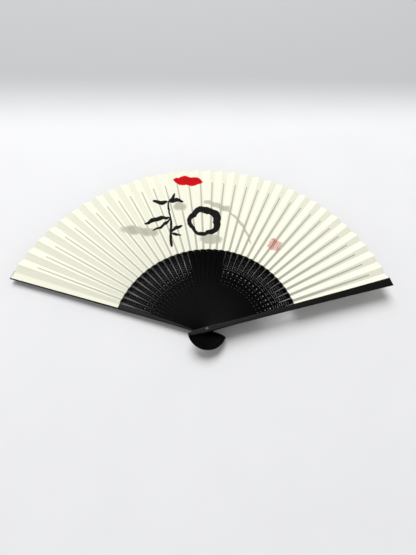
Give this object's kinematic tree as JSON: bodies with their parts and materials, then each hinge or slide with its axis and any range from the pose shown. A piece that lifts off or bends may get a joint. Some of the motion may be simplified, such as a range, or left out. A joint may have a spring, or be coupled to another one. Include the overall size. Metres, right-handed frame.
{
  "type": "hand fan",
  "caption": "Folding hand fan with slim black ribs and guard sticks turning on one rivet, and a pleated ivory paper leaf, shown fully open.",
  "frame": {"origin": "on the rivet's axis, at the flat foot of the rivet, which is flush with the underside of the back guard", "axes": "+Z along the rivet towards its domed cap, +Y from the rivet through the middle of the open fan, +X towards the front guard's side"},
  "size_m": [0.3994, 0.2249, 0.0135],
  "materials": {
    "guard_wood": "black-stained bamboo guard sticks with a satin lacquer",
    "rib_wood": "black-stained thin bamboo ribs, satin, carved with slits and small round perforations",
    "leaf_paper": "matt ivory paper, pleated, with a plain ink-brush ornament",
    "rivet": "glossy black nylon rivet"
  },
  "bodies": {
    "back_guard": {"back_guard": "guard_wood", "pivot_pin": "rivet", "rivet_cap": "rivet", "leaf_back_end": "leaf_paper"},
    "front_guard": {"front_guard": "guard_wood", "leaf_front_end": "leaf_paper"},
    "rib_01": {"rib_01": "rib_wood", "leaf_01": "leaf_paper"},
    "rib_02": {"rib_02": "rib_wood"},
    "rib_03": {"rib_03": "rib_wood", "leaf_02": "leaf_paper"},
    "rib_04": {"rib_04": "rib_wood"},
    "rib_05": {"rib_05": "rib_wood", "leaf_03": "leaf_paper"},
    "rib_06": {"rib_06": "rib_wood"},
    "rib_07": {"rib_07": "rib_wood", "leaf_04": "leaf_paper"},
    "rib_08": {"rib_08": "rib_wood"},
    "rib_09": {"rib_09": "rib_wood", "leaf_05": "leaf_paper"},
    "rib_10": {"rib_10": "rib_wood"},
    "rib_11": {"rib_11": "rib_wood", "leaf_06": "leaf_paper"},
    "rib_12": {"rib_12": "rib_wood"},
    "rib_13": {"rib_13": "rib_wood", "leaf_07": "leaf_paper"},
    "rib_14": {"rib_14": "rib_wood"},
    "rib_15": {"rib_15": "rib_wood", "leaf_08": "leaf_paper"},
    "rib_16": {"rib_16": "rib_wood"},
    "rib_17": {"rib_17": "rib_wood", "leaf_09": "leaf_paper"},
    "rib_18": {"rib_18": "rib_wood"},
    "rib_19": {"rib_19": "rib_wood", "leaf_10": "leaf_paper"},
    "rib_20": {"rib_20": "rib_wood"},
    "rib_21": {"rib_21": "rib_wood", "leaf_11": "leaf_paper"},
    "rib_22": {"rib_22": "rib_wood"},
    "rib_23": {"rib_23": "rib_wood", "leaf_12": "leaf_paper"},
    "rib_24": {"rib_24": "rib_wood"},
    "rib_25": {"rib_25": "rib_wood", "leaf_13": "leaf_paper"},
    "rib_26": {"rib_26": "rib_wood"},
    "rib_27": {"rib_27": "rib_wood", "leaf_14": "leaf_paper"},
    "rib_28": {"rib_28": "rib_wood"},
    "rib_29": {"rib_29": "rib_wood", "leaf_15": "leaf_paper"},
    "rib_30": {"rib_30": "rib_wood"},
    "rib_31": {"rib_31": "rib_wood", "leaf_16": "leaf_paper"},
    "rib_32": {"rib_32": "rib_wood"},
    "rib_33": {"rib_33": "rib_wood", "leaf_17": "leaf_paper"}
  },
  "joints": [
    {"name": "fan_fold", "type": "hinge", "parent": "back_guard", "child": "front_guard", "pos_m": [0, 0, 0.006], "axis": [0, 0, 1], "range_deg": [0, 147.7], "deforming": ["leaf_01", "leaf_02", "leaf_03", "leaf_04", "leaf_05", "leaf_06", "leaf_07", "leaf_08", "leaf_09", "leaf_10", "leaf_11", "leaf_12", "leaf_13", "leaf_14", "leaf_15", "leaf_16", "leaf_17"]},
    {"name": "rib_fold_01", "type": "hinge", "parent": "back_guard", "child": "rib_01", "pos_m": [0, 0, 0.006], "axis": [0, 0, 1], "range_deg": [0, 4.35]},
    {"name": "rib_fold_02", "type": "hinge", "parent": "back_guard", "child": "rib_02", "pos_m": [0, 0, 0.006], "axis": [0, 0, 1], "range_deg": [0, 8.7]},
    {"name": "rib_fold_03", "type": "hinge", "parent": "back_guard", "child": "rib_03", "pos_m": [0, 0, 0.006], "axis": [0, 0, 1], "range_deg": [0, 13.04]},
    {"name": "rib_fold_04", "type": "hinge", "parent": "back_guard", "child": "rib_04", "pos_m": [0, 0, 0.006], "axis": [0, 0, 1], "range_deg": [0, 17.39]},
    {"name": "rib_fold_05", "type": "hinge", "parent": "back_guard", "child": "rib_05", "pos_m": [0, 0, 0.006], "axis": [0, 0, 1], "range_deg": [0, 21.73]},
    {"name": "rib_fold_06", "type": "hinge", "parent": "back_guard", "child": "rib_06", "pos_m": [0, 0, 0.006], "axis": [0, 0, 1], "range_deg": [0, 26.07]},
    {"name": "rib_fold_07", "type": "hinge", "parent": "back_guard", "child": "rib_07", "pos_m": [0, 0, 0.006], "axis": [0, 0, 1], "range_deg": [0, 30.42]},
    {"name": "rib_fold_08", "type": "hinge", "parent": "back_guard", "child": "rib_08", "pos_m": [0, 0, 0.006], "axis": [0, 0, 1], "range_deg": [0, 34.76]},
    {"name": "rib_fold_09", "type": "hinge", "parent": "back_guard", "child": "rib_09", "pos_m": [0, 0, 0.006], "axis": [0, 0, 1], "range_deg": [0, 39.11]},
    {"name": "rib_fold_10", "type": "hinge", "parent": "back_guard", "child": "rib_10", "pos_m": [0, 0, 0.006], "axis": [0, 0, 1], "range_deg": [0, 43.45]},
    {"name": "rib_fold_11", "type": "hinge", "parent": "back_guard", "child": "rib_11", "pos_m": [0, 0, 0.006], "axis": [0, 0, 1], "range_deg": [0, 47.79]},
    {"name": "rib_fold_12", "type": "hinge", "parent": "back_guard", "child": "rib_12", "pos_m": [0, 0, 0.006], "axis": [0, 0, 1], "range_deg": [0, 52.14]},
    {"name": "rib_fold_13", "type": "hinge", "parent": "back_guard", "child": "rib_13", "pos_m": [0, 0, 0.006], "axis": [0, 0, 1], "range_deg": [0, 56.48]},
    {"name": "rib_fold_14", "type": "hinge", "parent": "back_guard", "child": "rib_14", "pos_m": [0, 0, 0.006], "axis": [0, 0, 1], "range_deg": [0, 60.83]},
    {"name": "rib_fold_15", "type": "hinge", "parent": "back_guard", "child": "rib_15", "pos_m": [0, 0, 0.006], "axis": [0, 0, 1], "range_deg": [0, 65.17]},
    {"name": "rib_fold_16", "type": "hinge", "parent": "back_guard", "child": "rib_16", "pos_m": [0, 0, 0.006], "axis": [0, 0, 1], "range_deg": [0, 69.51]},
    {"name": "rib_fold_17", "type": "hinge", "parent": "back_guard", "child": "rib_17", "pos_m": [0, 0, 0.006], "axis": [0, 0, 1], "range_deg": [0, 73.86]},
    {"name": "rib_fold_18", "type": "hinge", "parent": "back_guard", "child": "rib_18", "pos_m": [0, 0, 0.006], "axis": [0, 0, 1], "range_deg": [0, 78.2]},
    {"name": "rib_fold_19", "type": "hinge", "parent": "back_guard", "child": "rib_19", "pos_m": [0, 0, 0.006], "axis": [0, 0, 1], "range_deg": [0, 82.55]},
    {"name": "rib_fold_20", "type": "hinge", "parent": "back_guard", "child": "rib_20", "pos_m": [0, 0, 0.006], "axis": [0, 0, 1], "range_deg": [0, 86.89]},
    {"name": "rib_fold_21", "type": "hinge", "parent": "back_guard", "child": "rib_21", "pos_m": [0, 0, 0.006], "axis": [0, 0, 1], "range_deg": [0, 91.23]},
    {"name": "rib_fold_22", "type": "hinge", "parent": "back_guard", "child": "rib_22", "pos_m": [0, 0, 0.006], "axis": [0, 0, 1], "range_deg": [0, 95.58]},
    {"name": "rib_fold_23", "type": "hinge", "parent": "back_guard", "child": "rib_23", "pos_m": [0, 0, 0.006], "axis": [0, 0, 1], "range_deg": [0, 99.92]},
    {"name": "rib_fold_24", "type": "hinge", "parent": "back_guard", "child": "rib_24", "pos_m": [0, 0, 0.006], "axis": [0, 0, 1], "range_deg": [0, 104.27]},
    {"name": "rib_fold_25", "type": "hinge", "parent": "back_guard", "child": "rib_25", "pos_m": [0, 0, 0.006], "axis": [0, 0, 1], "range_deg": [0, 108.61]},
    {"name": "rib_fold_26", "type": "hinge", "parent": "back_guard", "child": "rib_26", "pos_m": [0, 0, 0.006], "axis": [0, 0, 1], "range_deg": [0, 112.95]},
    {"name": "rib_fold_27", "type": "hinge", "parent": "back_guard", "child": "rib_27", "pos_m": [0, 0, 0.006], "axis": [0, 0, 1], "range_deg": [0, 117.3]},
    {"name": "rib_fold_28", "type": "hinge", "parent": "back_guard", "child": "rib_28", "pos_m": [0, 0, 0.006], "axis": [0, 0, 1], "range_deg": [0, 121.64]},
    {"name": "rib_fold_29", "type": "hinge", "parent": "back_guard", "child": "rib_29", "pos_m": [0, 0, 0.006], "axis": [0, 0, 1], "range_deg": [0, 125.99]},
    {"name": "rib_fold_30", "type": "hinge", "parent": "back_guard", "child": "rib_30", "pos_m": [0, 0, 0.006], "axis": [0, 0, 1], "range_deg": [0, 130.33]},
    {"name": "rib_fold_31", "type": "hinge", "parent": "back_guard", "child": "rib_31", "pos_m": [0, 0, 0.006], "axis": [0, 0, 1], "range_deg": [0, 134.67]},
    {"name": "rib_fold_32", "type": "hinge", "parent": "back_guard", "child": "rib_32", "pos_m": [0, 0, 0.006], "axis": [0, 0, 1], "range_deg": [0, 139.02]},
    {"name": "rib_fold_33", "type": "hinge", "parent": "back_guard", "child": "rib_33", "pos_m": [0, 0, 0.006], "axis": [0, 0, 1], "range_deg": [0, 143.36]}
  ],
  "couplings": [
    {"joint": "rib_fold_01", "follows": "fan_fold", "ratio": 0.029412},
    {"joint": "rib_fold_02", "follows": "fan_fold", "ratio": 0.058824},
    {"joint": "rib_fold_03", "follows": "fan_fold", "ratio": 0.088235},
    {"joint": "rib_fold_04", "follows": "fan_fold", "ratio": 0.11765},
    {"joint": "rib_fold_05", "follows": "fan_fold", "ratio": 0.14706},
    {"joint": "rib_fold_06", "follows": "fan_fold", "ratio": 0.17647},
    {"joint": "rib_fold_07", "follows": "fan_fold", "ratio": 0.20588},
    {"joint": "rib_fold_08", "follows": "fan_fold", "ratio": 0.23529},
    {"joint": "rib_fold_09", "follows": "fan_fold", "ratio": 0.26471},
    {"joint": "rib_fold_10", "follows": "fan_fold", "ratio": 0.29412},
    {"joint": "rib_fold_11", "follows": "fan_fold", "ratio": 0.32353},
    {"joint": "rib_fold_12", "follows": "fan_fold", "ratio": 0.35294},
    {"joint": "rib_fold_13", "follows": "fan_fold", "ratio": 0.38235},
    {"joint": "rib_fold_14", "follows": "fan_fold", "ratio": 0.41176},
    {"joint": "rib_fold_15", "follows": "fan_fold", "ratio": 0.44118},
    {"joint": "rib_fold_16", "follows": "fan_fold", "ratio": 0.47059},
    {"joint": "rib_fold_17", "follows": "fan_fold", "ratio": 0.5},
    {"joint": "rib_fold_18", "follows": "fan_fold", "ratio": 0.52941},
    {"joint": "rib_fold_19", "follows": "fan_fold", "ratio": 0.55882},
    {"joint": "rib_fold_20", "follows": "fan_fold", "ratio": 0.58823},
    {"joint": "rib_fold_21", "follows": "fan_fold", "ratio": 0.61765},
    {"joint": "rib_fold_22", "follows": "fan_fold", "ratio": 0.64706},
    {"joint": "rib_fold_23", "follows": "fan_fold", "ratio": 0.67647},
    {"joint": "rib_fold_24", "follows": "fan_fold", "ratio": 0.70588},
    {"joint": "rib_fold_25", "follows": "fan_fold", "ratio": 0.73529},
    {"joint": "rib_fold_26", "follows": "fan_fold", "ratio": 0.76471},
    {"joint": "rib_fold_27", "follows": "fan_fold", "ratio": 0.79412},
    {"joint": "rib_fold_28", "follows": "fan_fold", "ratio": 0.82353},
    {"joint": "rib_fold_29", "follows": "fan_fold", "ratio": 0.85294},
    {"joint": "rib_fold_30", "follows": "fan_fold", "ratio": 0.88235},
    {"joint": "rib_fold_31", "follows": "fan_fold", "ratio": 0.91177},
    {"joint": "rib_fold_32", "follows": "fan_fold", "ratio": 0.94118},
    {"joint": "rib_fold_33", "follows": "fan_fold", "ratio": 0.97059}
  ]
}
